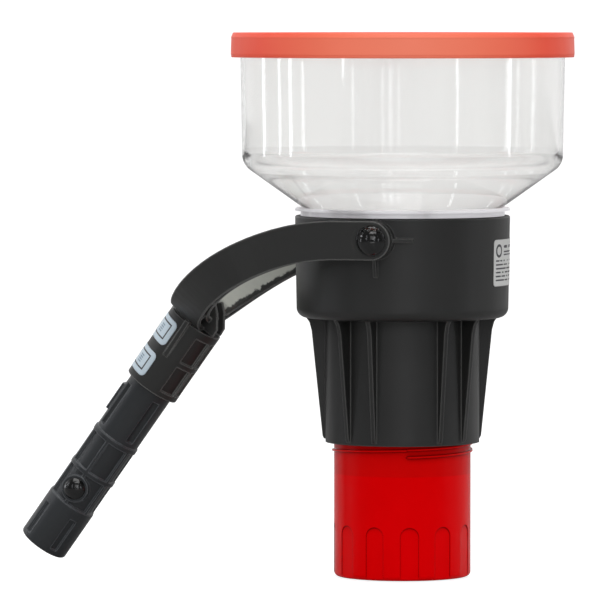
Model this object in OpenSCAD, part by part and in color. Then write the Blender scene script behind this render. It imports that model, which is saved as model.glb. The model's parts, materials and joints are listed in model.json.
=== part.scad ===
// Smoke detector test dispenser: a clear cup with a soft rim on a black housing that holds an
// aerosol can, with a red screw-on base cup and a swinging yoke that plugs into an access pole.
// Millimetres. Origin: centre of the base cup's flat underside, +Z up to the mouth of the cup,
// yoke pivot along Y, handle towards -X.

/* [Cup] */
// Outside diameter of the soft rim ring
rim_d = 187.2; // [180:0.4:194]
// Height of the soft rim ring
rim_h = 13.5; // [12:0.5:16]
// Diameter of the opening in the rim membrane
mouth_d = 150; // [130:1:160]
// Wall thickness of the clear cup
cup_wall = 2; // [1.6:0.2:2.4]
// Vent holes in the collar floor
vent_holes = 8; // [4:1:10]
// Coils of the return spring
return_turns = 4.5; // [3:0.5:6]

/* [Housing] */
// Pairs of fins round the skirt
fin_pairs = 5; // [3:1:7]
// Fin thickness
fin_t = 2.4; // [1.6:0.2:3.2]
// Height of the pivot axis
pivot_z = 185.3; // [184.8:0.1:185.8]
// Reach of the gussets beside each pivot boss
gusset_reach = 20; // [15:0.5:21]
// Width of the drum label in degrees round the drum
label_deg = 36; // [24:1:44]

/* [Base] */
// Outside diameter of the red base cup
base_d = 74.6; // [74.2:0.1:74.8]
// Arched panels round the base cup
base_panels = 12; // [8:1:14]
// Width of one arched panel
panel_w = 10.3; // [8:0.1:11]
// Height of the panel arches
panel_top = 29; // [20:0.5:40]

/* [Yoke] */
// Radius of the arched top edge of the yoke
yoke_arch_r = 145; // [142:0.5:148]
// Depth of the yoke band from top edge to bottom edge
yoke_band = 21; // [19:0.5:22]
// Wall thickness of the yoke channel
yoke_wall = 2.5; // [2:0.1:3]

/* [Handle] */
// Angle of the handle below the horizontal
handle_angle = 54.5; // [53:0.5:56]
// Diameter of the plug that goes into the access pole
plug_d = 28; // [27:0.2:29]
// Diameter of the snap button
button_d = 12; // [10:0.5:12.5]
// Coils of the snap button spring
button_turns = 4; // [3:0.5:6]

/* [Hidden] */
$fn = 96;

eps = 0.01;

// Heights on the main axis
skirt_z = 73.3;
seal_z = 86;
seal_h = 2;
shoulder_z = seal_z + seal_h;
drum_z = 141.3;
drum_floor_z = 144.5;
drum_top_z = 196.9;
collar_floor_z = 178;
collar_floor_h = 2.5;
label_z0 = 159.3;
label_z1 = 184.6;
spigot_z = 181;
lip_z = 199.6;
lip_h = 1.7;
cone_z = lip_z + lip_h;
rim_z = 283;
rim_top_z = rim_z + rim_h;
cup_top_z = rim_top_z - 4.5;

// Radii on the main axis
rim_r = rim_d / 2;
cup_r = rim_r - 5;
drum_r_top = 58.6;
drum_r_low = 57.8;
drum_bore_r = 56.2;
drum_edge_r = 5.5;
collar_r = 55.6;
spigot_r = 53.4;
cone_r = 54.5;
skirt_r = 42;
skirt_bore_r = 39;
housing_bore_r = 36;
base_r = base_d / 2;
base_wall = 2.4;
can_r = 32.5;
guide_bore_r = 33.7;
guide_r = 43;
groove_r = 57;
bead_r = 56.7;

// Thread between the base cup and the skirt
thread_lead = 8;
thread_starts = 2;
thread_crest_r = 38.4;
thread_low_z = 67;
thread_arcs = 8;
thread_arc_deg = 89.6;
thread_phase = -72;

// Pivot
boss_r = 10.4;
boss_face = 62.3;
arm_in = 63.5;
arm_out = 69;
arm_end_r = 10.6;
pin_r = 5;
pin_end = 57.3;
bush_r = 7;
pin_clear = 0.05;

// Yoke outline
arch_x = -19;
arm_bend_s = -7;
arch_z = arm_end_r - yoke_arch_r;
arch_mid_r = yoke_arch_r - yoke_band / 2;
crotch_s = 56;
crotch_r = 59;
crotch_t = 9.5;
deep_r = yoke_arch_r - yoke_wall;
shallow_r = yoke_arch_r - yoke_band + 0.6;

// Handle, measured along its own axis from handle_at
handle_at = [-112.2, 0, 144];
socket_r = 15.75;
socket_t0 = 8.5;
socket_t1 = 52.2;
hub_r = 13.9;
hub_t0 = 2;
screw_t = [21, 42];
screw_head_r = 3;
screw_seat_r = 14.2;
neck_r = 13;
neck_end = 86.8;
key_r = 14;
key_w = 7;
key_t = 60;
key_l = 17;
plug_r = plug_d / 2;
plug_end = 161.5;
plug_rib_r = plug_r - 0.3;
plug_tip_t = 132;
plug_bore_r = 9;
rib_depth = 1.6;
button_t = 122;
button_r = button_d / 2;
button_pocket_r = button_r + 1.2;
button_seat = 10;
spigot_in_r = 12;
spigot_t0 = 14;

function arc(x, y, r, a0, a1, n = 8) =
    [for (i = [0:n]) [x + r * cos(a0 + (a1 - a0) * i / n), y + r * sin(a0 + (a1 - a0) * i / n)]];

// A flat ring about the Z axis
module ring(r0, r1, z0, h) {
    translate([0, 0, z0])
        difference() {
            cylinder(r = r1, h = h);
            translate([0, 0, -1]) cylinder(r = r0, h = h + 2);
        }
}

// A wedge of a ring, centred on the angle mid
module ring_wedge(r0, r1, z0, h, mid, width) {
    rotate([0, 0, mid - width / 2])
        rotate_extrude(angle = width)
            translate([r0, z0]) square([r1 - r0, h]);
}

// A coil spring along Z
module coil(r, wire, z0, z1, turns, steps = 26, sides = 8) {
    n = round(turns * steps);
    rise = z1 - z0 - 2 * wire;
    points = [for (i = [0:n]) for (j = [0:sides - 1])
        let (a = 360 * turns * i / n, b = 360 * j / sides, q = r + wire * cos(b))
        [q * cos(a), q * sin(a), z0 + wire + rise * i / n + wire * sin(b)]];
    skin = [for (i = [0:n - 1]) for (j = [0:sides - 1])
        let (k = (j + 1) % sides)
        [i * sides + j, i * sides + k, (i + 1) * sides + k, (i + 1) * sides + j]];
    start_cap = [[for (j = [sides - 1:-1:0]) j]];
    end_cap = [[for (j = [0:sides - 1]) n * sides + j]];
    polyhedron(points, concat(skin, start_cap, end_cap), convexity = 10);
}

// One piece of thread ridge, tilted to the thread's rise; profile is [inner, crest, half height]
module thread_arc(z, at, profile, width) {
    tilt = atan(thread_lead / (2 * PI * thread_crest_r));
    translate([0, 0, z]) rotate([0, 0, at]) rotate([tilt, 0, 0]) rotate([0, 0, -width / 2])
        rotate_extrude(angle = width)
            polygon([[profile[0], -profile[2]], [profile[1], -profile[2] / 2],
                [profile[1], profile[2] / 2], [profile[0], profile[2]]]);
}

// Height of the ridge of one start at an angle
function thread_z(start, at) =
    thread_low_z + thread_lead * ((at - thread_phase) / 360 + start / thread_starts);

// ---------------------------------------------------------------- housing

// Outside radius of the slightly tapered drum at a height
function drum_r(z) = drum_r_low + (drum_r_top - drum_r_low)
    * (z - drum_z - drum_edge_r) / (drum_top_z - 0.6 - drum_z - drum_edge_r);

module drum_outline() {
    polygon(concat(
        [[0, drum_z]],
        arc(drum_r_low - drum_edge_r, drum_z + drum_edge_r, drum_edge_r, -90, 0),
        [[drum_r_top, drum_top_z - 0.6], [drum_r_top - 0.6, drum_top_z], [0, drum_top_z]]));
}

module fin() {
    rotate([90, 0, 0])
        linear_extrude(fin_t, center = true)
            polygon([[skirt_r - 2, skirt_z + 1.5], [skirt_r + 0.8, skirt_z + 1.5],
                [skirt_r + 1.6, skirt_z + 3], [49.6, 134], [50.8, 138.5], [53.5, drum_z + 1],
                [skirt_r - 2, drum_z + 1]]);
}

module gusset(reach, tip) {
    rotate([90, 0, 0])
        linear_extrude(2, center = true)
            polygon([[0, 52], [0, boss_face - 0.4], [boss_r, boss_face - 0.4],
                [reach, tip], [reach, 52]]);
}

module pivot_boss() {
    rotate([-90, 0, 0]) {
        translate([0, 0, 52]) cylinder(r = boss_r, h = boss_face - 52);
        for (side = [0, 180]) rotate([0, 0, side]) gusset(gusset_reach, 57);
        rotate([0, 0, 90]) gusset(gusset_reach, 60);
        rotate([0, 0, -90]) gusset(11.5, boss_face - 0.5);
    }
}

module housing() {
    color("#262625") difference() {
        union() {
            rotate_extrude() drum_outline();
            translate([0, 0, skirt_z]) cylinder(r = skirt_r, h = drum_z - skirt_z + 1);
            for (i = [0:fin_pairs - 1]) for (side = [-11.2, 11.2])
                rotate([0, 0, 180 + 360 * i / fin_pairs + side]) fin();
            for (side = [0, 180])
                translate([0, 0, pivot_z]) rotate([0, 0, side]) pivot_boss();
        }
        translate([0, 0, skirt_z - 1]) cylinder(r = skirt_bore_r, h = shoulder_z - skirt_z + 1);
        translate([0, 0, shoulder_z - 1]) cylinder(r = housing_bore_r, h = drum_z);
        translate([0, 0, drum_floor_z]) cylinder(r = drum_bore_r, h = drum_top_z);
        ring(drum_bore_r - 1, groove_r, 174.5, 5.6);
        for (side = [-1, 1])
            translate([0, side * pin_end, pivot_z]) rotate([-90 * side, 0, 0])
                cylinder(r = pin_r, h = 20);
        for (i = [0:2]) rotate([0, 0, 120 * i]) translate([39.7, 0, drum_z + 0.8])
            cylinder(r = 1.4, h = 10);
    }
    color("#262625") for (start = [0, 1])
        thread_arc(thread_z(start, thread_phase + 200) + thread_lead / 4,
            thread_phase + 200, [skirt_bore_r + 0.8, skirt_bore_r - 1.1, 0.7], 40);
}

module can_guide() {
    color("#3a3a3a") difference() {
        ring(guide_bore_r, guide_r, drum_floor_z, 5);
        translate([0, 0, drum_floor_z + 4])
            cylinder(r1 = guide_bore_r, r2 = guide_bore_r + 1.5, h = 1.5);
        for (i = [0:2]) rotate([0, 0, 120 * i]) translate([39.7, 0, drum_floor_z - 1]) {
            cylinder(r = 1.4, h = 8);
            translate([0, 0, 4]) cylinder(r = 2.8, h = 8);
        }
    }
}

module guide_screws() {
    color("#8d8f92") for (i = [0:2]) rotate([0, 0, 120 * i]) translate([39.7, 0, 0])
        difference() {
            union() {
                translate([0, 0, drum_z + 1]) cylinder(r = 1.4, h = 6.3);
                translate([0, 0, drum_floor_z + 3]) cylinder(r = 2.6, h = 2);
            }
            translate([-0.4, -2, drum_floor_z + 4.2]) cube([0.8, 4, 2]);
            translate([-2, -0.4, drum_floor_z + 4.2]) cube([4, 0.8, 2]);
        }
}

module base_seal() {
    color("#1a1a1a") ring(housing_bore_r, skirt_bore_r - 0.2, seal_z, seal_h);
}

module body_label() {
    color("#e8e8e6") rotate([0, 0, -label_deg / 2])
        rotate_extrude(angle = label_deg)
            polygon([for (c = [[0.02, label_z0], [0.27, label_z0], [0.27, label_z1], [0.02, label_z1]])
                [drum_r(c[1]) + c[0], c[1]]]);
}

module pin(side) {
    dome_r = 9.2;
    color("#101010") translate([0, 0, pivot_z]) rotate([-90 * side, 0, 0]) {
        translate([0, 0, pin_end]) cylinder(r = pin_r, h = arm_out - pin_end + 0.2);
        translate([0, 0, arm_out + 0.15])
            rotate_extrude() polygon(concat([[0, 0], [8.2, 0], [8.2, 0.8]],
                arc(0, 0.8 + 4.2 - dome_r, dome_r, 33, 90)));
    }
}

module pivot_pin_near() {
    pin(-1);
}

module pivot_pin_far() {
    pin(1);
}

module pivot_washers() {
    color("#9a9c9f") for (side = [-1, 1])
        translate([0, 0, pivot_z]) rotate([-90 * side, 0, 0])
            ring(pin_r + 0.3, 9.2, boss_face, 1);
}

module return_spring() {
    color("#b5b7ba") coil(47, 1.3, drum_floor_z, collar_floor_z, return_turns);
}

// ---------------------------------------------------------------- cup

module rim_seal() {
    color("#e66a4e") rotate_extrude() difference() {
        polygon([[mouth_d / 2, rim_top_z - 3.4], [mouth_d / 2, rim_top_z - 2],
            [rim_r - 9, rim_top_z], [rim_r - 0.8, rim_top_z], [rim_r, rim_top_z - 0.8],
            [rim_r, rim_z + 0.6], [rim_r - 0.6, rim_z], [cup_r - 9, rim_z],
            [cup_r - 9, rim_top_z - 2.4]]);
        translate([cup_r - 9 - eps, rim_z - 1]) square([9 - cup_wall - 2.5, cup_top_z - rim_z + 2.6]);
        translate([cup_r - cup_wall - 0.3, rim_z - 1]) square([cup_wall + 0.32, cup_top_z - rim_z + 1]);
    }
}

module clear_cup() {
    w = cup_wall;
    fillet_r = 11;
    fillet_x = cup_r - 1.1 - fillet_r;
    fillet_z = 230.5;
    cone_slope = 34.7;
    color("#dfe6ea", 0.35) rotate_extrude()
        polygon(concat(
            [[spigot_r, spigot_z], [spigot_r, cone_z], [cone_r, cone_z]],
            arc(fillet_x, fillet_z, fillet_r, cone_slope - 90, 0, 10),
            [[cup_r, cup_top_z], [cup_r - w, cup_top_z]],
            arc(fillet_x, fillet_z, fillet_r - w, 0, cone_slope - 90, 10),
            [[spigot_r - 1.6, cone_z + 0.9], [spigot_r - 1.6, spigot_z]]));
}

module cup_collar() {
    color("#d9d6ea", 0.6) {
        rotate_extrude() polygon([[spigot_r, collar_floor_z], [collar_r, collar_floor_z],
            [bead_r, collar_floor_z + 0.8], [bead_r, collar_floor_z + 1.4],
            [collar_r, collar_floor_z + 2], [collar_r, lip_z], [drum_r_top, lip_z],
            [drum_r_top, lip_z + 1.2], [drum_r_top - 0.5, cone_z], [spigot_r, cone_z]]);
        difference() {
            union() {
                translate([0, 0, collar_floor_z])
                    cylinder(r = spigot_r + eps, h = collar_floor_h);
                translate([0, 0, 174]) cylinder(r = 12, h = 16);
            }
            translate([0, 0, 170]) cylinder(r = 9.1, h = 30);
            for (i = [0:vent_holes - 1]) rotate([0, 0, 360 * (i + 0.5) / vent_holes])
                translate([30, 0, 170]) cylinder(r = 6, h = 20);
        }
    }
}

module spray_head() {
    color("#d01414") difference() {
        union() {
            translate([0, 0, 172.5]) cylinder(r = 9.1, h = 18);
            translate([0, 0, 190]) cylinder(r = 12, h = 2.5);
            translate([0, 0, 192.5 - eps]) cylinder(r1 = 9.5, r2 = 6, h = 9);
        }
        translate([0, 0, 170]) cylinder(r = 2.05, h = 8);
        translate([0, 0, 177]) cylinder(r = 1.2, h = 30);
        translate([0, 0, 170]) cylinder(r1 = 5.5, r2 = 2.05, h = 5);
        for (i = [0:3]) translate([0, 0, 197.5]) rotate([0, 90, 45 + 90 * i])
            cylinder(r = 0.9, h = 12);
    }
}

// ---------------------------------------------------------------- can and base

module can_body() {
    color("#c9ccd0") rotate_extrude()
        polygon(concat(
            [[0, 12], [20, 10], [29, 7.2], [30, 6], [32.4, 6], [33.1, 6.6], [33.1, 8], [can_r, 9.2],
                [can_r, 148], [33.1, 149], [33.1, 150.6], [32.2, 151.4]],
            arc(13.5, 144, 18.7, 22, 88, 8),
            [[0, 162.7]]));
}

module can_valve_cup() {
    color("#d8d2b8") difference() {
        rotate_extrude() polygon([[0, 162.7], [13.4, 162.7], [14.6, 163.6], [14.6, 165.2],
            [13.4, 166.2], [12, 166.2], [11.2, 164.2], [5.4, 164.2], [4.6, 169.6], [0, 169.6]]);
        translate([0, 0, 163.6]) cylinder(r = 2.1, h = 10);
    }
}

module can_valve_stem() {
    color("#eeeeee") difference() {
        translate([0, 0, 166.3]) cylinder(r = 2, h = 11.65);
        translate([0, 0, 169]) cylinder(r = 0.7, h = 10);
    }
}

module base_cup() {
    flat = base_r - 0.6;
    color("#c80812") {
        difference() {
            rotate_extrude() polygon(concat(
                [[0, 0]],
                arc(base_r - 2.5, 2.5, 2.5, -90, 0, 6),
                [[base_r, seal_z - 0.5], [base_r - 0.5, seal_z], [base_r - base_wall, seal_z],
                    [base_r - base_wall, 57.5], [base_r - base_wall - 0.5, 56.5],
                    [base_r - base_wall - 0.5, 5.5], [base_r - base_wall - 2.5, 3], [0, 3]]));
            for (i = [0:base_panels - 1])
                rotate([0, 0, -69.6 + 360 * i / base_panels]) translate([flat, 0, 0]) {
                    translate([0, -panel_w / 2, -1]) cube([4, panel_w, panel_top - panel_w / 2 + 1]);
                    translate([0, 0, panel_top - panel_w / 2]) rotate([0, 90, 0])
                        cylinder(r = panel_w / 2, h = 4);
                }
        }
        for (start = [0, 1]) for (i = [-2 * start:thread_arcs - 1 - 2 * start])
            thread_arc(thread_z(start, thread_phase + 45 + 90 * i), thread_phase + 45 + 90 * i,
                [base_r - 0.9, thread_crest_r, 0.9], thread_arc_deg);
    }
}

module base_pad() {
    color("#2c2c2c") ring(18, 31.5, 3, 3);
}

// ---------------------------------------------------------------- yoke

// The band is a U drawn on a flat sheet that is then bent round the arch about a Y axis, so its
// walls stand along the radii of the arch. s runs along the sheet from the start of the arch,
// y is across it and r is the distance from the arch axis.
function bend(s, y, r) = s < 0
    ? [arch_x - s, y, arch_z + r]
    : let (a = s / arch_mid_r * 180 / PI) [arch_x - r * sin(a), y, arch_z + r * cos(a)];

function ease(v) = v * v * (3 - 2 * v);

// Stations along half the U: [s, y, outward s, outward y, thickness, channel top]
function arm_station(s, top) = let (e = ease(max(0, (s - arm_bend_s) / (crotch_s - arm_bend_s))))
    [s, arm_out + (crotch_r - arm_out) * e, 0, 1,
        (arm_out - arm_in) + (crotch_t - arm_out + arm_in) * e, top];

function crotch_station(a, top) =
    [crotch_s + crotch_r * cos(a), crotch_r * sin(a), cos(a), sin(a), crotch_t, top];

function rib_stops(a) = [[a + 1.2, deep_r], [a + 1, shallow_r], [a - 1, shallow_r], [a - 1.2, deep_r]];

function half_u() = concat(
    [for (s = [arch_x, -12, -4]) arm_station(s, shallow_r)],
    [for (s = [-3, 4, 12, 20, 26]) arm_station(s, deep_r)],
    [for (s = [26.4, 28.4]) arm_station(s, shallow_r)],
    [for (s = [28.8, 36, 44, 50]) arm_station(s, deep_r)],
    [for (a = [90, 84, 78]) crotch_station(a, deep_r)],
    [for (c = rib_stops(74)) crotch_station(c[0], c[1])],
    [for (a = [68, 62, 56]) crotch_station(a, deep_r)],
    [for (c = rib_stops(51)) crotch_station(c[0], c[1])],
    [for (a = [46, 40, 34]) crotch_station(a, deep_r)],
    [for (c = rib_stops(29)) crotch_station(c[0], c[1])],
    [for (a = [24, 18, 12, 6]) crotch_station(a, deep_r)]);

function flip(stations) = [for (i = [len(stations) - 1:-1:0]) let (q = stations[i])
    [q[0], -q[1], q[2], -q[3], q[4], q[5]]];

function section(q) = let (low = yoke_arch_r - yoke_band)
    [for (c = [[0, yoke_arch_r], [q[4], yoke_arch_r], [q[4], low], [q[4] - yoke_wall, low],
        [q[4] - yoke_wall, q[5]], [yoke_wall, q[5]], [yoke_wall, low], [0, low]])
        bend(q[0] - q[2] * c[0], q[1] - q[3] * c[0], c[1])];

module u_band() {
    half = half_u();
    stations = concat(half, [crotch_station(0, deep_r)], flip(half));
    n = len(stations);
    points = [for (q = stations) for (c = section(q)) c];
    skin = [for (i = [0:n - 2]) for (j = [0:7]) let (k = (j + 1) % 8)
        [i * 8 + k, (i + 1) * 8 + k, (i + 1) * 8 + j, i * 8 + j]];
    z = (n - 1) * 8;
    start_cap = [[6, 5, 0, 7], [5, 4, 1, 0], [4, 3, 2, 1]];
    end_cap = [[z + 7, z + 0, z + 5, z + 6], [z + 0, z + 1, z + 4, z + 5],
        [z + 1, z + 2, z + 3, z + 4]];
    polyhedron(points, concat(skin, start_cap, end_cap), convexity = 10);
}

module along_y(width) {
    rotate([90, 0, 0]) linear_extrude(width, center = true) children();
}

// Turns +Z onto the handle axis, +X onto the handle's outer upper side
module on_handle() {
    translate(handle_at) rotate([0, 270 - handle_angle, 0]) children();
}

// The tapered rib down the near side of the socket
module socket_rib() {
    rotate([0, 0, -88]) rotate([90, 0, 0]) linear_extrude(3, center = true)
        polygon([[14, 6], [18.2, 7.5], [socket_r + 0.1, 31], [14, 31]]);
}

module socket() {
    difference() {
        union() {
            difference() {
                translate([0, 0, hub_t0]) cylinder(r = hub_r, h = socket_t0 - hub_t0 + 1);
                ring_wedge(6, hub_r + 2, 0, socket_t0, 180, 150);
            }
            translate([0, 0, socket_t0]) cylinder(r = socket_r, h = socket_t1 - socket_t0);
            socket_rib();
        }
        for (w = [[140, 36], [180, 34], [220, 36]]) {
            ring_wedge(14.2, 18, 13.5, 15.8, w[0], w[1]);
            ring_wedge(14.2, 18, 32.6, 16.1, w[0], w[1]);
        }
        for (t = screw_t) translate([0, 0, t]) rotate([-90, 0, 0]) {
            cylinder(r = 1.5, h = 20);
            translate([0, 0, screw_seat_r]) cylinder(r = screw_head_r + 0.2, h = 5);
        }
    }
}

module yoke() {
    color("#2a2a29") difference() {
        union() {
            translate([0, 0, pivot_z]) {
                u_band();
                for (side = [-1, 1]) translate([0, side * (arm_in + arm_out) / 2, 0])
                    along_y(arm_out - arm_in) circle(r = arm_end_r - 0.15);
            }
            on_handle() socket();
            for (y = [-7, 7]) translate([0, y, 0]) along_y(2)
                polygon([[-105.4, 129.2], [-103, 133], [-102.8, 142], [-104, 148], [-112, 148],
                    [-117, 138]]);
        }
        for (side = [-1, 1]) translate([0, 0, pivot_z]) rotate([-90 * side, 0, 0])
            translate([0, 0, arm_in - 2]) cylinder(r = bush_r, h = 10);
        on_handle() translate([0, 0, spigot_t0]) cylinder(r = spigot_in_r, h = 60);
    }
}

module bush(side) {
    color("#c9b27a") translate([0, 0, pivot_z]) rotate([-90 * side, 0, 0])
        ring(pin_r + pin_clear, bush_r, arm_in, arm_out - arm_in);
}

module pivot_bush_near() {
    bush(-1);
}

module pivot_bush_far() {
    bush(1);
}

module plug_outline() {
    polygon(concat([[0, neck_end], [plug_rib_r - 0.5, neck_end], [plug_rib_r, neck_end + 0.5],
        [plug_rib_r, plug_tip_t], [plug_r, plug_tip_t]],
        arc(plug_r - 1.5, plug_end - 1.5, 1.5, 0, 90, 5), [[0, plug_end]]));
}

module pole_adaptor() {
    color("#26282a") on_handle() difference() {
        union() {
            translate([0, 0, spigot_t0]) cylinder(r = spigot_in_r, h = 60);
            translate([0, 0, socket_t1]) cylinder(r = neck_r, h = neck_end - socket_t1 + 1);
            translate([key_r - 4, -key_w / 2, key_t]) cube([4, key_w, key_l]);
            difference() {
                rotate_extrude() plug_outline();
                for (i = [0:5]) {
                    ring_wedge(plug_r - rib_depth, plug_r + 2, 90, 19.8, -60 + 60 * i, 52);
                    ring_wedge(plug_r - rib_depth, plug_r + 2, 112.4, 18.8, -60 + 60 * i, 52);
                }
                for (mid = [-130, -50, 50, 130])
                    ring_wedge(plug_r - rib_depth + 0.4, plug_r + 2, 138, 20, mid, 17);
            }
            translate([0, 0, button_t]) rotate([90, 0, 0])
                cylinder(r = button_r + 1.6, h = plug_r + 0.2);
        }
        translate([0, 0, 92]) cylinder(r = plug_bore_r, h = 80);
        for (side = [-1, 1]) rotate([0, 0, -90 + 47 * side]) translate([neck_r + 0.3, 0, 57])
            cylinder(r = 2.4, h = 27);
        translate([0, 0, button_t]) rotate([90, 0, 0]) {
            cylinder(r = button_pocket_r, h = button_seat);
            cylinder(r = button_r + pin_clear, h = 30);
        }
        for (t = screw_t) translate([0, 0, t]) rotate([-90, 0, 0])
            translate([0, 0, 5]) cylinder(r = 1.5, h = 20);
    }
}

module adaptor_screws() {
    color("#8d8f92") on_handle() for (t = screw_t) translate([0, 0, t]) rotate([-90, 0, 0])
        difference() {
            union() {
                translate([0, 0, 5.4]) cylinder(r = 1.5, h = 9);
                translate([0, 0, screw_seat_r]) cylinder(r = screw_head_r, h = 1.3);
            }
            translate([-0.4, -2.2, 14.8]) cube([0.8, 4.4, 2]);
            translate([-2.2, -0.4, 14.8]) cube([4.4, 0.8, 2]);
        }
}

module socket_label(t0) {
    color("#c8d7e1") on_handle() ring_wedge(socket_r, socket_r + 0.25, t0, 15, -12, 128);
}

module socket_label_upper() {
    socket_label(12.6);
}

module socket_label_lower() {
    socket_label(33.3);
}

module snap_button() {
    dome_r = 7.4;
    color("#17181a") on_handle() translate([0, 0, button_t]) rotate([90, 0, 0]) {
        translate([0, 0, button_seat - 1.4]) cylinder(r = button_pocket_r - 0.1, h = 1.35);
        rotate_extrude() polygon(concat(
            [[0, button_seat - 1.4], [button_r, button_seat - 1.4]],
            arc(0, 18.2 - dome_r, dome_r, acos(button_r / dome_r), 90)));
    }
}

module button_spring() {
    color("#b5b7ba") on_handle() translate([0, 0, button_t]) rotate([90, 0, 0])
        coil(4, 0.5, -7.6, button_seat - 1.4, button_turns, 18, 6);
}

housing();
can_guide();
guide_screws();
base_seal();
body_label();
pivot_pin_near();
pivot_pin_far();
pivot_washers();
return_spring();
rim_seal();
clear_cup();
cup_collar();
spray_head();
can_body();
can_valve_cup();
can_valve_stem();
base_cup();
base_pad();
yoke();
pivot_bush_near();
pivot_bush_far();
pole_adaptor();
adaptor_screws();
socket_label_upper();
socket_label_lower();
snap_button();
button_spring();
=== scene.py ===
import json
import math

import bmesh
import bpy
from mathutils import Matrix, Vector


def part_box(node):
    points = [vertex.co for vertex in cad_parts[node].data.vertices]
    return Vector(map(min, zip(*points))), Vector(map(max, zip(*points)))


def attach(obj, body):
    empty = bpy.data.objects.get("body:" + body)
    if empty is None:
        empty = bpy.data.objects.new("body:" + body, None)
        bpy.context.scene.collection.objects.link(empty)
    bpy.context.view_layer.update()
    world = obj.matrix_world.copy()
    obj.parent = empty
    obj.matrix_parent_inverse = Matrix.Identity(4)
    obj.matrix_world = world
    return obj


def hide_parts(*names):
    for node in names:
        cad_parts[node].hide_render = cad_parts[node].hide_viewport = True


MM = 0.001
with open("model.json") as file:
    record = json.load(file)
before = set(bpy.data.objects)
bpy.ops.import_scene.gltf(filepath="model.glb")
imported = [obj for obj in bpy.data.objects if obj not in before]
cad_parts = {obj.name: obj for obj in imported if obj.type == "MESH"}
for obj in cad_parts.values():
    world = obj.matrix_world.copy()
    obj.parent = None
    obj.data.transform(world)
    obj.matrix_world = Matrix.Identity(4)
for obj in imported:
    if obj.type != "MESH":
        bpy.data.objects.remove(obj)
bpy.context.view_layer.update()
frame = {"nodes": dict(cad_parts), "record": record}
SLOT = {s["node"]: s["material_slot"] for s in frame["record"]["subparts"]}
BODY_OF = {n: b for b, ns in frame["record"]["behaviour"]["bodies"].items() for n in ns}


# Looks, in metres where they are lengths
EDGE_COSINES = (0.99, 0.86)         # bevel against flat normal: no painted edge highlight, full painted edge highlight
GRAIN_STRENGTH = 0.35
CUP_IOR = 1.46
THREAD_STEP_Z = (0.0560, 0.0568)    # the red turns darker above this height
ARCH_X, ARCH_Z = -0.019, 0.0509     # centre the yoke's arch is bent round
PALE_PATCH_REACH = (0.1265, 0.1275)       # the pale patch starts this far from the arch's centre


# ------------------------------------------------------------------ node helpers

def new_material(name):
    """A material with one Principled shader: (material, tree, shader, output)."""
    mat = bpy.data.materials.new(name)
    mat.use_nodes = True
    nt = mat.node_tree
    nt.nodes.clear()
    out = nt.nodes.new("ShaderNodeOutputMaterial")
    bsdf = nt.nodes.new("ShaderNodeBsdfPrincipled")
    nt.links.new(bsdf.outputs[0], out.inputs[0])
    return mat, nt, bsdf, out


def ramp(nt, source, stops):
    """A colour ramp on a value, from (position, colour) stops."""
    node = nt.nodes.new("ShaderNodeValToRGB")
    items = node.color_ramp.elements
    while len(items) < len(stops):
        items.new(0.5)
    for item, (at, colour) in zip(items, stops):
        item.position = at
        item.color = (*colour, 1)
    nt.links.new(source, node.inputs[0])
    return node.outputs[0]


def noise(nt, scale, detail=3.0, rough=0.55, stretch=None):
    """Noise that stays with the piece when it moves."""
    coord = nt.nodes.new("ShaderNodeTexCoord")
    source = coord.outputs["Object"]
    if stretch:
        mapping = nt.nodes.new("ShaderNodeMapping")
        mapping.inputs["Scale"].default_value = stretch
        nt.links.new(source, mapping.inputs[0])
        source = mapping.outputs[0]
    tex = nt.nodes.new("ShaderNodeTexNoise")
    tex.inputs["Scale"].default_value = scale
    tex.inputs["Detail"].default_value = detail
    tex.inputs["Roughness"].default_value = rough
    nt.links.new(source, tex.inputs["Vector"])
    return tex.outputs[0]


def to_range(nt, source, low, high, lo_in=0.3, hi_in=0.7):
    """Maps lo_in..hi_in to low..high and holds the ends."""
    node = nt.nodes.new("ShaderNodeMapRange")
    node.inputs["From Min"].default_value = lo_in
    node.inputs["From Max"].default_value = hi_in
    node.inputs["To Min"].default_value = low
    node.inputs["To Max"].default_value = high
    nt.links.new(source, node.inputs[0])
    return node.outputs[0]


def calc(nt, how, first, second):
    """One sum on two values; each is a socket or a plain number."""
    node = nt.nodes.new("ShaderNodeMath")
    node.operation = how
    for socket, value in zip(node.inputs, (first, second)):
        if isinstance(value, float):
            socket.default_value = value
        else:
            nt.links.new(value, socket)
    return node.outputs[0]


def blend(nt, share, first, second, how="MIX"):
    """Mixes two colours; each input is a socket or a plain value."""
    node = nt.nodes.new("ShaderNodeMix")
    node.data_type = "RGBA"
    node.blend_type = how
    for place, value in ((0, share), (6, first), (7, second)):
        if isinstance(value, (float, tuple)):
            node.inputs[place].default_value = value
        else:
            nt.links.new(value, node.inputs[place])
    return node.outputs[2]


def axes(nt, kind="Object"):
    """The x, y and z of a texture coordinate."""
    coord = nt.nodes.new("ShaderNodeTexCoord")
    split = nt.nodes.new("ShaderNodeSeparateXYZ")
    nt.links.new(coord.outputs[kind], split.inputs[0])
    return split.outputs


def colour_of(bsdf):
    """The socket that now feeds the base colour."""
    return bsdf.inputs["Base Color"].links[0].from_socket


def bump(nt, bsdf, source, strength, distance, edge=0.0):
    """Surface grain, and edges rounded by shading when edge (metres) is given."""
    node = nt.nodes.new("ShaderNodeBump")
    node.inputs["Strength"].default_value = strength
    node.inputs["Distance"].default_value = distance
    nt.links.new(source, node.inputs["Height"])
    if edge:
        bevel = nt.nodes.new("ShaderNodeBevel")
        bevel.samples = 6
        bevel.inputs["Radius"].default_value = edge
        nt.links.new(bevel.outputs[0], node.inputs["Normal"])
        bevel.name = "edge_bevel"
    nt.links.new(node.outputs[0], bsdf.inputs["Normal"])


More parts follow.
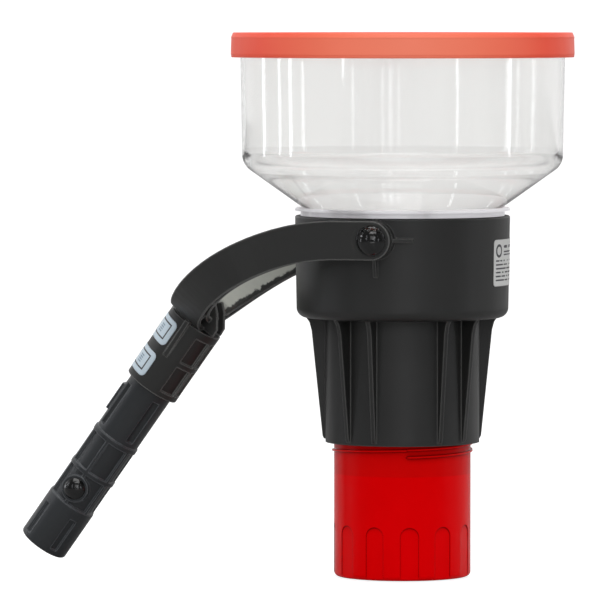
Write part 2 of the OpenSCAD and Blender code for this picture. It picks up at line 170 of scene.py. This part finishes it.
def painted_edge_highlights(nt, bsdf, colour):
    """Painted edge highlight: the base colour turns paler where the edge is rounded, as if the
    corners catch the light.
    """
    face = nt.nodes.new("ShaderNodeNewGeometry")
    same = nt.nodes.new("ShaderNodeVectorMath")
    same.operation = "DOT_PRODUCT"
    nt.links.new(nt.nodes["edge_bevel"].outputs[0], same.inputs[0])
    nt.links.new(face.outputs["Normal"], same.inputs[1])
    turned = to_range(nt, same.outputs["Value"], 0.0, 1.0, *EDGE_COSINES)
    mixed = blend(nt, turned, colour_of(bsdf), (*colour, 1))
    nt.links.new(mixed, bsdf.inputs["Base Color"])


def seen_by_camera(nt, lit, direct, through=0.0):
    """A value that is direct for what the camera sees, also partly through the clear cup,
    and lit for what lights the object."""
    path = nt.nodes.new("ShaderNodeLightPath")
    clear = calc(nt, "MULTIPLY", path.outputs["Is Transmission Ray"], through)
    mix = nt.nodes.new("ShaderNodeMix")
    nt.links.new(calc(nt, "MAXIMUM", path.outputs["Is Camera Ray"], clear), mix.inputs[0])
    if isinstance(lit, float):
        mix.inputs[2].default_value = lit
    else:
        nt.links.new(lit, mix.inputs[2])
    mix.inputs[3].default_value = direct
    return mix.outputs[0]


def plastic(name, dark, light, rough, grain=900.0, grain_depth=0.00004, edge=0.0008,
            coat=0.0, edge_highlight_colour=None):
    """Moulded plastic: a slow cloud of two tones, streaky roughness and fine grain; given an edge
    highlight colour, rounded edges also get a painted highlight.
    """
    mat, nt, bsdf, _ = new_material(name)
    cloud = noise(nt, 14.0, 4.0)
    nt.links.new(ramp(nt, cloud, [(0.3, dark), (0.7, light)]), bsdf.inputs["Base Color"])
    streak = noise(nt, 60.0, 5.0, 0.6, (1, 1, 0.25))
    nt.links.new(to_range(nt, streak, rough - 0.06, rough + 0.06), bsdf.inputs["Roughness"])
    bump(nt, bsdf, noise(nt, grain, 2.0), GRAIN_STRENGTH, grain_depth, edge)
    # Painted highlight on rounded edges, in the given colour
    if edge_highlight_colour:
        painted_edge_highlights(nt, bsdf, edge_highlight_colour)
    bsdf.inputs["Coat Weight"].default_value = coat
    bsdf.inputs["Coat Roughness"].default_value = 0.25
    return mat


def metal(name, colour, rough, stretch=(1, 1, 12)):
    """Bare metal with fine streaks along one way."""
    mat, nt, bsdf, _ = new_material(name)
    bsdf.inputs["Metallic"].default_value = 1.0
    fine = noise(nt, 220.0, 4.0, 0.6, stretch)
    dark = tuple(c * 0.82 for c in colour)
    nt.links.new(ramp(nt, fine, [(0.3, dark), (0.7, colour)]), bsdf.inputs["Base Color"])
    nt.links.new(to_range(nt, fine, rough - 0.07, rough + 0.09), bsdf.inputs["Roughness"])
    bump(nt, bsdf, fine, 0.2, 0.00003, 0.0003)
    return mat


def clear_plastic(name, tint, rough, haze, glow=0.0):
    """Clear moulded plastic: a bending glass with a faint milky film and flow marks; a glow above
    zero makes the film give off painted light for the camera.
    """
    mat, nt, bsdf, out = new_material(name)
    bsdf.inputs["Base Color"].default_value = (*tint, 1)
    bsdf.inputs["Transmission Weight"].default_value = 1.0
    bsdf.inputs["IOR"].default_value = CUP_IOR
    flow = noise(nt, 30.0, 3.0, 0.5, (1, 1, 0.06))
    nt.links.new(to_range(nt, flow, rough, rough + 0.05), bsdf.inputs["Roughness"])
    bump(nt, bsdf, flow, 0.06, 0.0004)
    film = nt.nodes.new("ShaderNodeBsdfPrincipled")
    film.inputs["Base Color"].default_value = (0.92, 0.91, 0.92, 1)
    film.inputs["Roughness"].default_value = 0.35
    film.inputs["Emission Color"].default_value = (0.95, 0.92, 0.97, 1)
    # Painted glow: the film gives off light for the camera when glow is above zero
    nt.links.new(seen_by_camera(nt, 0.0, glow), film.inputs["Emission Strength"])
    mix = nt.nodes.new("ShaderNodeMixShader")
    nt.links.new(to_range(nt, flow, haze * 0.6, haze * 1.5), mix.inputs[0])
    nt.links.new(bsdf.outputs[0], mix.inputs[1])
    nt.links.new(film.outputs[0], mix.inputs[2])
    nt.links.new(mix.outputs[0], out.inputs[0])
    return mat


def camera_glow(nt, bsdf, colour, strength):
    """Painted glow: a little of its own colour given off as light, for the camera only."""
    nt.links.new(colour, bsdf.inputs["Base Color"])
    nt.links.new(colour, bsdf.inputs["Emission Color"])
    nt.links.new(seen_by_camera(nt, 0.0, strength), bsdf.inputs["Emission Strength"])


def red_plastic():
    """Saturated moulded red: reflections keep the colour and the thread end is darker; painted
    shade darkens the corners of recesses, and a little painted glow is added for the camera.
    """
    mat = plastic("red_plastic", (0.80, 0.0, 0.001), (0.90, 0.0003, 0.002), 0.2,
                  grain_depth=0.00001)
    nt = mat.node_tree
    bsdf = nt.nodes["Principled BSDF"]
    bsdf.inputs["Specular IOR Level"].default_value = 0.2
    bsdf.inputs["Specular Tint"].default_value = (0.75, 0.02, 0.02, 1)
    above = to_range(nt, axes(nt)[2], 0.0, 0.45, *THREAD_STEP_Z)
    red = blend(nt, above, colour_of(bsdf), (0.60, 0.004, 0.003, 1))
    # Painted shade: ambient occlusion darkens the red in the corners of recesses
    corner = nt.nodes.new("ShaderNodeAmbientOcclusion")
    corner.samples = 8
    corner.only_local = True
    corner.inputs["Distance"].default_value = 0.0035
    shade = to_range(nt, corner.outputs["AO"], 0.35, 1.0, 0.6, 1.0)
    # Painted glow: a little of the red is given off for the camera
    camera_glow(nt, bsdf, blend(nt, 1.0, red, shade, "MULTIPLY"), 0.1)
    return mat


def coral_rubber():
    """Soft coral rubber with a painted sheen: paler where it faces the viewer, with a little
    painted glow for the camera.
    """
    mat = plastic("coral_rubber", (0.84, 0.075, 0.035), (0.90, 0.10, 0.05), 0.42, edge=0.0009)
    nt = mat.node_tree
    bsdf = nt.nodes["Principled BSDF"]
    bsdf.inputs["Specular IOR Level"].default_value = 0.3
    # Painted sheen: the colour turns paler where the surface faces the viewer
    facing = nt.nodes.new("ShaderNodeLayerWeight")
    pale = to_range(nt, facing.outputs["Facing"], 0.75, 0.0, 0.0, 0.45)
    # Painted glow for the camera
    camera_glow(nt, bsdf, blend(nt, pale, colour_of(bsdf), (0.96, 0.27, 0.165, 1)), 0.2)
    return mat


def yoke_plastic():
    """Black plastic whose inner faces round the loop carry a ragged pale grey patch."""
    # Its edge colour paints a highlight on the rounded edges
    mat = plastic("black_yoke", (0.016, 0.016, 0.015), (0.021, 0.021, 0.0195), 0.48,
                  edge=0.0016, edge_highlight_colour=(0.22, 0.22, 0.21))
    nt = mat.node_tree
    bsdf = nt.nodes["Principled BSDF"]
    x, y, z = axes(nt)
    inward = calc(nt, "MULTIPLY", calc(nt, "SIGN", y, 0.0), axes(nt, "Normal")[1])
    faces = to_range(nt, calc(nt, "MULTIPLY", inward, -1.0), 0.0, 1.0, 0.2, 0.45)
    outside = to_range(nt, calc(nt, "ABSOLUTE", y, 0.0), 0.0, 1.0, 0.010, 0.024)
    ahead = to_range(nt, x, 1.0, 0.0, -0.062, -0.02)
    across = calc(nt, "SUBTRACT", x, ARCH_X)
    up = calc(nt, "SUBTRACT", z, ARCH_Z)
    squares = calc(nt, "ADD", calc(nt, "MULTIPLY", across, across), calc(nt, "MULTIPLY", up, up))
    ragged = to_range(nt, noise(nt, 300.0, 3.0), -0.0011, 0.0011)
    reach = calc(nt, "ADD", calc(nt, "POWER", squares, 0.5), ragged)
    plate = to_range(nt, reach, 0.0, 1.0, *PALE_PATCH_REACH)
    mask = calc(nt, "MULTIPLY", calc(nt, "MULTIPLY", faces, outside),
                calc(nt, "MULTIPLY", ahead, plate))
    cloud = to_range(nt, noise(nt, 40.0, 4.0), 0.82, 1.0)
    pale_patched = blend(nt, calc(nt, "MULTIPLY", mask, cloud), colour_of(bsdf), (0.60, 0.62, 0.56, 1))
    nt.links.new(pale_patched, bsdf.inputs["Base Color"])
    return mat


# Edge colours given here are painted highlights on rounded edges
MATERIALS = {
    "black_housing": plastic("black_housing", (0.013, 0.013, 0.0125), (0.017, 0.017, 0.016),
                             0.44, edge=0.0013, edge_highlight_colour=(0.10, 0.10, 0.095)),
    "black_yoke": yoke_plastic(),
    "blue_black_plug": plastic("blue_black_plug", (0.016, 0.018, 0.020), (0.022, 0.025, 0.028),
                               0.42, edge=0.0013, edge_highlight_colour=(0.13, 0.14, 0.15)),
    "gloss_black": plastic("gloss_black", (0.002, 0.002, 0.002), (0.003, 0.003, 0.003),
                           0.07, grain_depth=0.00001, coat=0.1),
    "coral_rubber": coral_rubber(),
    "red_plastic": red_plastic(),
    "seal_rubber": plastic("seal_rubber", (0.015, 0.015, 0.015), (0.022, 0.022, 0.022), 0.7),
    "pad_foam": plastic("pad_foam", (0.03, 0.03, 0.03), (0.05, 0.05, 0.05), 0.9, 400.0, 0.0003),
    "bush_plastic": plastic("bush_plastic", (0.40, 0.30, 0.15), (0.47, 0.36, 0.19), 0.5),
    "white_plastic": plastic("white_plastic", (0.78, 0.78, 0.77), (0.84, 0.84, 0.83), 0.35),
    "white_label": plastic("white_label", (0.76, 0.76, 0.74), (0.82, 0.82, 0.80), 0.42),
    "print_grey": plastic("print_grey", (0.045, 0.045, 0.05), (0.07, 0.07, 0.075), 0.5),
    "print_pale": plastic("print_pale", (0.26, 0.36, 0.45), (0.32, 0.42, 0.50), 0.5),
    "blue_label": plastic("blue_label", (0.60, 0.71, 0.79), (0.66, 0.76, 0.83), 0.36),
    "spring_steel": metal("spring_steel", (0.62, 0.63, 0.65), 0.28),
    "zinc_steel": metal("zinc_steel", (0.60, 0.61, 0.60), 0.36),
    "can_aluminium": metal("can_aluminium", (0.80, 0.81, 0.82), 0.30),
    "valve_tinplate": metal("valve_tinplate", (0.72, 0.66, 0.45), 0.3),
    "clear_cup": clear_plastic("clear_cup", (0.985, 0.985, 0.975), 0.02, 0.05),
    # The frosted collar's film carries a painted glow for the camera
    "frosted_collar": clear_plastic("frosted_collar", (0.97, 0.95, 0.97), 0.22, 0.85, 0.25),
}


def smooth_by_angle(obj, degrees):
    """Smooth shading that keeps corners sharper than the angle."""
    name = f"smooth_{degrees}"
    group = bpy.data.node_groups.get(name)
    if group is None:
        group = bpy.data.node_groups.new(name, "GeometryNodeTree")
        group.interface.new_socket("Geometry", in_out="INPUT", socket_type="NodeSocketGeometry")
        group.interface.new_socket("Geometry", in_out="OUTPUT", socket_type="NodeSocketGeometry")
        start = group.nodes.new("NodeGroupInput")
        end = group.nodes.new("NodeGroupOutput")
        soft = group.nodes.new("GeometryNodeSetShadeSmooth")
        hard = group.nodes.new("GeometryNodeSetShadeSmooth")
        hard.domain = "EDGE"
        angle = group.nodes.new("GeometryNodeInputMeshEdgeAngle")
        over = group.nodes.new("FunctionNodeCompare")
        over.operation = "GREATER_THAN"
        over.inputs[1].default_value = math.radians(degrees)
        group.links.new(start.outputs[0], soft.inputs[0])
        group.links.new(soft.outputs[0], hard.inputs[0])
        group.links.new(angle.outputs[0], over.inputs[0])
        group.links.new(over.outputs[0], hard.inputs["Selection"])
        hard.inputs["Shade Smooth"].default_value = False
        group.links.new(hard.outputs[0], end.inputs[0])
    mod = obj.modifiers.new("smooth", "NODES")
    mod.node_group = group


CAD_SMOOTH_DEG = 28
for node, obj in frame["nodes"].items():
    obj.data.materials.clear()
    obj.data.materials.append(MATERIALS[SLOT[node]])
    smooth_by_angle(obj, CAD_SMOOTH_DEG)


# ------------------------------------------------------------------ mesh helpers

def rounded(points, steps=5):
    """A closed outline with each corner (x, y, radius) turned into an arc."""
    out = []
    count = len(points)
    for i, (x, y, r) in enumerate(points):
        b = Vector((x, y))
        u = Vector(points[i - 1][:2]) - b
        v = Vector(points[(i + 1) % count][:2]) - b
        if r <= 0 or u.length < 1e-9 or v.length < 1e-9:
            out.append((x, y))
            continue
        half = u.angle(v) / 2
        d = min(r / math.tan(half), 0.49 * u.length, 0.49 * v.length)
        u.normalize()
        v.normalize()
        r = d * math.tan(half)
        centre = b + (u + v).normalized() * (r / math.sin(half))
        start = b + u * d - centre
        end = b + v * d - centre
        turn = start.angle_signed(end)
        for k in range(steps + 1):
            q = -turn * k / steps
            c, sn = math.cos(q), math.sin(q)
            out.append((centre.x + start.x * c - start.y * sn,
                        centre.y + start.x * sn + start.y * c))
    return out


def revolve(profile, segs=192):
    """A closed outline of (radius, height) in millimetres turned about the Z axis."""
    bm = bmesh.new()
    rings = []
    for k in range(segs):
        a = 2 * math.pi * k / segs
        rings.append([bm.verts.new((r * MM * math.cos(a), r * MM * math.sin(a), z * MM))
                      for r, z in profile])
    n = len(profile)
    for k in range(segs):
        one, two = rings[k], rings[(k + 1) % segs]
        for j in range(n):
            m = (j + 1) % n
            if profile[j][0] < 1e-6 and profile[m][0] < 1e-6:
                continue
            bm.faces.new((one[j], two[j], two[m], one[m]))
    bmesh.ops.remove_doubles(bm, verts=bm.verts, dist=1e-7)
    bmesh.ops.dissolve_degenerate(bm, edges=bm.edges, dist=1e-8)
    bmesh.ops.recalc_face_normals(bm, faces=bm.faces)
    return bm


def grid_shell(bm, rows, place):
    """A closed thin plate from a grid of (u, v) points; place(point, top) gives each corner."""
    cols = len(rows[0])
    faces = {}
    for top in (0, 1):
        for i, row in enumerate(rows):
            for j, q in enumerate(row):
                faces[i, j, top] = bm.verts.new(place(q, top))
    for i in range(len(rows) - 1):
        for j in range(cols - 1):
            for top in (0, 1):
                quad = [faces[i, j, top], faces[i + 1, j, top], faces[i + 1, j + 1, top],
                        faces[i, j + 1, top]]
                bm.faces.new(quad if top else quad[::-1])
    border = ([(0, j) for j in range(cols)] + [(i, cols - 1) for i in range(1, len(rows))]
              + [(len(rows) - 1, j) for j in range(cols - 2, -1, -1)]
              + [(i, 0) for i in range(len(rows) - 2, 0, -1)])
    for k, a in enumerate(border):
        b = border[(k + 1) % len(border)]
        bm.faces.new((faces[a + (0,)], faces[b + (0,)], faces[b + (1,)], faces[a + (1,)]))
    bmesh.ops.recalc_face_normals(bm, faces=bm.faces)


def patch(bm, radius, a0, a1, z0, z1, corner, lift, xf=None, cols=28):
    """A rounded rectangle laid on a cylinder about Z: radius(z) in mm, angles in degrees."""
    mid_r = radius((z0 + z1) / 2)
    width = math.radians(a1 - a0) * mid_r
    rows = []
    for i in range(cols + 1):
        t = (1 - math.cos(math.pi * i / cols)) / 2
        x = t * width
        d = min(x, width - x)
        cut = corner - math.sqrt(max(0.0, corner ** 2 - (corner - d) ** 2)) if d < corner else 0.0
        a = math.radians(a0) + x / mid_r
        rows.append([(a, z0 + cut + (z1 - z0 - 2 * cut) * j / 4) for j in range(5)])

    def place(q, top):
        r = (radius(q[1]) + lift[top]) * MM
        co = Vector((r * math.cos(q[0]), r * math.sin(q[0]), q[1] * MM))
        return xf @ co if xf else co

    grid_shell(bm, rows, place)


def add(name, bm, node, slot=None, angle=30, mat=None):
    """Makes a piece that stands for a CAD node and moves with it."""
    mesh = bpy.data.meshes.new(name)
    bm.to_mesh(mesh)
    bm.free()
    obj = bpy.data.objects.new(name, mesh)
    bpy.context.scene.collection.objects.link(obj)
    mesh.materials.append(MATERIALS[mat or slot or SLOT[node]])
    smooth_by_angle(obj, angle)
    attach(obj, BODY_OF[node])
    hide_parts(node)
    return obj


def size_of(node):
    low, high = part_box(node)
    return [v / MM for v in low], [v / MM for v in high]


# ------------------------------------------------------------------ cup pieces

rim_low, rim_high = size_of("rim_seal")
RIM_R = rim_high[1]
RIM_Z0, RIM_Z1 = rim_low[2], rim_high[2]
RIM_INNER_R = 75.0
cup_low, cup_high = size_of("clear_cup")
CUP_R = cup_high[1]
CUP_TOP = cup_high[2]
CONE_Z = 201.3
SPIGOT_R = 53.4
SPIGOT_Z = 181.0
WALL = 2.0

# Outline of the rim, corner by corner: lip, top, outer face with its parting line, and
# the groove that the cup's wall stands in
rim = revolve(rounded([
    (RIM_INNER_R, RIM_Z1 - 3.4, 0.4), (RIM_INNER_R, RIM_Z1 - 2.0, 0.5),
    (RIM_R - 9, RIM_Z1 - 0.3, 2.0), (RIM_R - 1.2, RIM_Z1, 0.5),
    (RIM_R - 0.1, RIM_Z1 - 2.7, 0.35), (RIM_R - 0.25, RIM_Z1 - 3.1, 0.2),
    (RIM_R, RIM_Z0 + 1.6, 0.3), (RIM_R - 0.25, RIM_Z0 + 1.25, 0.1),
    (RIM_R - 0.1, RIM_Z0 + 0.9, 0.2), (RIM_R - 0.4, RIM_Z0, 0.3),
    (CUP_R + 0.05, RIM_Z0, 0.2), (CUP_R + 0.05, CUP_TOP + 0.02, 0.1),
    (CUP_R - WALL - 0.3, CUP_TOP + 0.02, 0.1), (CUP_R - WALL - 0.3, RIM_Z0, 0.2),
    (CUP_R - 4.4, RIM_Z0, 0.3), (CUP_R - 4.4, CUP_TOP + 1.4, 0.5),
    (RIM_R - 14, CUP_TOP + 1.6, 1.0),
], 4), 256)
add("rim_ring", rim, "rim_seal")

# Outline of the cup: spigot, cone, rounded corner and wall, outside and then inside
CORNER_STEPS = 14
CORNER_TURN = 55.3
CORNER_R, CORNER_Z = 11, 230.5
INNER_CORNER_R = 16.0
CONE_SIN, CONE_COS = 0.822, 0.569
low_r = CUP_R - 1.1


def corner_arc(x, z, r, first, last):
    """Points on an arc about (x, z), angles in degrees."""
    out = []
    for k in range(CORNER_STEPS + 1):
        a = math.radians(first + (last - first) * k / CORNER_STEPS)
        out.append((x + r * math.cos(a), z + r * math.sin(a)))
    return out


inner_x = low_r - WALL - INNER_CORNER_R
inner_z = CONE_Z + 1.64 + (INNER_CORNER_R + CONE_COS * (inner_x - 53.36)) / CONE_SIN
cup_outline = [(SPIGOT_R, SPIGOT_Z), (SPIGOT_R, CONE_Z), (54.5, CONE_Z)]
cup_outline += corner_arc(low_r - CORNER_R, CORNER_Z, CORNER_R, -CORNER_TURN, 0)
cup_outline += [(CUP_R, CUP_TOP), (CUP_R - WALL, CUP_TOP)]
cup_outline += corner_arc(inner_x, inner_z, INNER_CORNER_R, 0, -CORNER_TURN)
cup_outline += [(SPIGOT_R - 1.0, CONE_Z + 1.3), (SPIGOT_R - 1.6, CONE_Z - 0.4),
                (SPIGOT_R - 1.6, SPIGOT_Z)]
add("clear_cup_shell", revolve(cup_outline, 256), "clear_cup", angle=40)

# ------------------------------------------------------------------ labels

def drum_r(z):
    """Radius of the drum in mm at a height: it widens a little upwards."""
    return 57.8 + 0.8 * (z - 146.8) / 49.5


def print_bars(bm, radius, a0, z0, rows, xf=None, lift=(0.22, 0.25)):
    """Plain bars standing in for print: (offset along the arc, width, height above z0, depth)."""
    for x, w, z, d in rows:
        r = radius(z0 + z)
        patch(bm, radius, a0 + math.degrees(x / r), a0 + math.degrees((x + w) / r),
              z0 + z, z0 + z + d, min(w, d) * 0.2, lift, xf, 6)


LABEL_Z = size_of("body_label")[0][2]
LABEL_H = size_of("body_label")[1][2] - LABEL_Z
bm = bmesh.new()
patch(bm, drum_r, -18, 18, LABEL_Z, LABEL_Z + LABEL_H, 2.0, (0.02, 0.22))
add("drum_label_film", bm, "body_label")
bm = bmesh.new()
bars = [(12.2, 19, 20.6, 1.5), (12.2, 15, 18.2, 0.8), (12.2, 17, 16.6, 0.8)]
for k, (length, gap) in enumerate([(28, 4), (31, 9), (24, 14), (29, 18), (25, 6), (30, 11)]):
    z = 13.4 - 2.1 * k
    bars += [(2.2, gap, z, 0.8), (3.2 + gap, length - gap, z, 0.8)]
print_bars(bm, drum_r, -18, LABEL_Z, bars)
patch(bm, drum_r, -15.9, -8.9, LABEL_Z + 15.6, LABEL_Z + 22.8, 3.4, (0.22, 0.25), None, 16)
add("drum_label_print", bm, "body_label", mat="print_grey")
bm = bmesh.new()
patch(bm, drum_r, -14.6, -10.2, LABEL_Z + 16.9, LABEL_Z + 21.5, 2.1, (0.23, 0.265), None, 16)
add("drum_label_ring_gap", bm, "body_label")

# The two socket stickers, drawn on the handle's own axis
HANDLE_AT = Vector((-112.2, 0, 144)) * MM
HANDLE_TURN = math.radians(215.5)
HANDLE = Matrix.Translation(HANDLE_AT) @ Matrix.Rotation(HANDLE_TURN, 4, "Y")
SOCKET_R = 15.75
STICKER_LENGTH = 15


def socket_r(t):
    """Radius in mm at a distance along the handle: the socket is straight."""
    return SOCKET_R


for node, t0 in (("socket_label_upper", 12.6), ("socket_label_lower", 33.3)):
    bm = bmesh.new()
    patch(bm, socket_r, -76, 52, t0, t0 + STICKER_LENGTH, 3.0, (0.02, 0.2), HANDLE, 40)
    add(node + "_film", bm, node)
    bm = bmesh.new()
    left, right, low, high, line = -64, -14, t0 + 2.6, t0 + 12.2, 0.8
    lift = (0.2, 0.235)
    across = math.degrees(line / SOCKET_R)
    for a0, a1, z0, z1 in [(left, right, low, low + line), (left, right, high - line, high),
                           (left, left + across, low + line, high - line),
                           (right - across, right, low + line, high - line)]:
        patch(bm, socket_r, a0, a1, z0, z1, 0.1, lift, HANDLE, 12)
    add(node + "_frame", bm, node, mat="print_grey")
    bm = bmesh.new()
    for k in range(4):
        patch(bm, socket_r, -47, -33, t0 + 5.2 + 1.3 * k, t0 + 5.9 + 1.3 * k, 0.2, lift, HANDLE, 8)
    add(node + "_marks", bm, node, mat="print_pale")


# ------------------------------------------------------------------ studio

FLOOR_ALBEDO = 0.40
FLOOR_GLOW = 0.85
FLOOR_THROUGH = 0.72
FLOOR_HALF = 6.0
SKY_GLOW = 1.1
SKY_THROUGH = 0.3


def floor_paper():
    """Pale paper: near white to the camera, darker for what lights the object."""
    mat, nt, bsdf, _ = new_material("floor")
    bsdf.inputs["Base Color"].default_value = (FLOOR_ALBEDO, FLOOR_ALBEDO, FLOOR_ALBEDO, 1)
    bsdf.inputs["Roughness"].default_value = 0.6
    bsdf.inputs["Specular IOR Level"].default_value = 0.1
    bsdf.inputs["Emission Color"].default_value = (1, 1, 1, 1)
    nt.links.new(seen_by_camera(nt, 0.0, FLOOR_GLOW, FLOOR_THROUGH),
                 bsdf.inputs["Emission Strength"])
    return mat


def area_light(name, at, aim, size, power, colour=(1, 1, 1)):
    """A rectangular lamp at one point, turned to another."""
    data = bpy.data.lights.new(name, "AREA")
    data.shape = "RECTANGLE"
    data.size, data.size_y = size
    data.energy = power
    data.color = colour
    obj = bpy.data.objects.new(name, data)
    bpy.context.scene.collection.objects.link(obj)
    obj.location = at
    obj.rotation_euler = (Vector(aim) - Vector(at)).to_track_quat("-Z", "Y").to_euler()


world = bpy.data.worlds.new("studio")
bpy.context.scene.world = world
world.use_nodes = True
wt = world.node_tree
sky = wt.nodes["Background"]
sky.inputs[0].default_value = (1, 1, 1, 1)
behind = wt.nodes.new("ShaderNodeMapRange")
behind.interpolation_type = "SMOOTHSTEP"
for key, value in (("From Min", -0.2), ("From Max", 0.75), ("To Min", 0.2), ("To Max", 0.92)):
    behind.inputs[key].default_value = value
wt.links.new(axes(wt, "Generated")[1], behind.inputs[0])
wt.links.new(seen_by_camera(wt, behind.outputs[0], SKY_GLOW, SKY_THROUGH), sky.inputs[1])
bpy.context.scene.view_settings.view_transform = "Standard"

floor_mesh = bpy.data.meshes.new("floor")
floor_mesh.from_pydata([(-FLOOR_HALF, -FLOOR_HALF, 0), (FLOOR_HALF, -FLOOR_HALF, 0),
                        (FLOOR_HALF, FLOOR_HALF, 0), (-FLOOR_HALF, FLOOR_HALF, 0)],
                       [], [(0, 1, 2, 3)])
floor = bpy.data.objects.new("floor", floor_mesh)
floor.location.z = -0.0005
floor_mesh.materials.append(floor_paper())
bpy.context.scene.collection.objects.link(floor)

CAM_AZ = math.radians(14.3)
CAM_DIST = 3.27
CAM_Z = 0.306
CAM_LENS = 360
AIM_SIDE, AIM_Z = -0.0559, 0.1506   # the point the camera looks at
side = Vector((math.cos(CAM_AZ), math.sin(CAM_AZ), 0))
away = Vector((-math.sin(CAM_AZ), math.cos(CAM_AZ), 0))
cam_data = bpy.data.cameras.new("camera")
cam_data.sensor_width = 36
cam_data.lens = CAM_LENS
cam_data.clip_end = 60
cam = bpy.data.objects.new("camera", cam_data)
bpy.context.scene.collection.objects.link(cam)
cam.location = -away * CAM_DIST + Vector((0, 0, CAM_Z))
aim = side * AIM_SIDE + Vector((0, 0, AIM_Z))
cam.rotation_euler = (aim - cam.location).to_track_quat("-Z", "Y").to_euler()
bpy.context.scene.camera = cam

# Narrow strips, by angle from the camera direction: (degrees, width, height, power)
STRIPS = [
    (-116, 0.07, 1.7, 2.6), (-97, 0.04, 1.7, 2.0), (-86, 0.07, 1.7, 3.2),
    (-42, 0.06, 1.2, 1.8), (3, 0.05, 1.0, 0.8), (9, 0.09, 1.0, 1.4),
    (15, 0.04, 1.0, 0.8), (38, 0.05, 1.2, 1.2), (81, 0.08, 1.7, 3.0),
]
STRIP_DIST, STRIP_Z = 2.1, 0.75
STRIP_COLOUR = (0.93, 0.95, 1.0)
MIDDLE = (0, 0, 0.2)
for k, (turn, width, tall, power) in enumerate(STRIPS):
    q = math.radians(turn) + CAM_AZ
    area_light(f"strip_{k}", (STRIP_DIST * math.sin(q), -STRIP_DIST * math.cos(q), STRIP_Z),
               MIDDLE, (width, tall), power, STRIP_COLOUR)

# Broad soft lights: from above, over and below the camera's line, and from the front
area_light("top", (0.0, -0.15, 2.1), (0, 0, 0.16), (1.8, 1.4), 20)
area_light("over", -away * 0.75 + Vector((0, 0, 1.25)), MIDDLE, (0.9, 0.22), 2.5)
area_light("low", -away * 1.1 - side * 0.05 + Vector((0, 0, 0.02)), MIDDLE, (0.5, 0.06), 0.25)
area_light("front", (0.7, -2.6, 1.3), MIDDLE, (1.6, 1.2), 8.5)
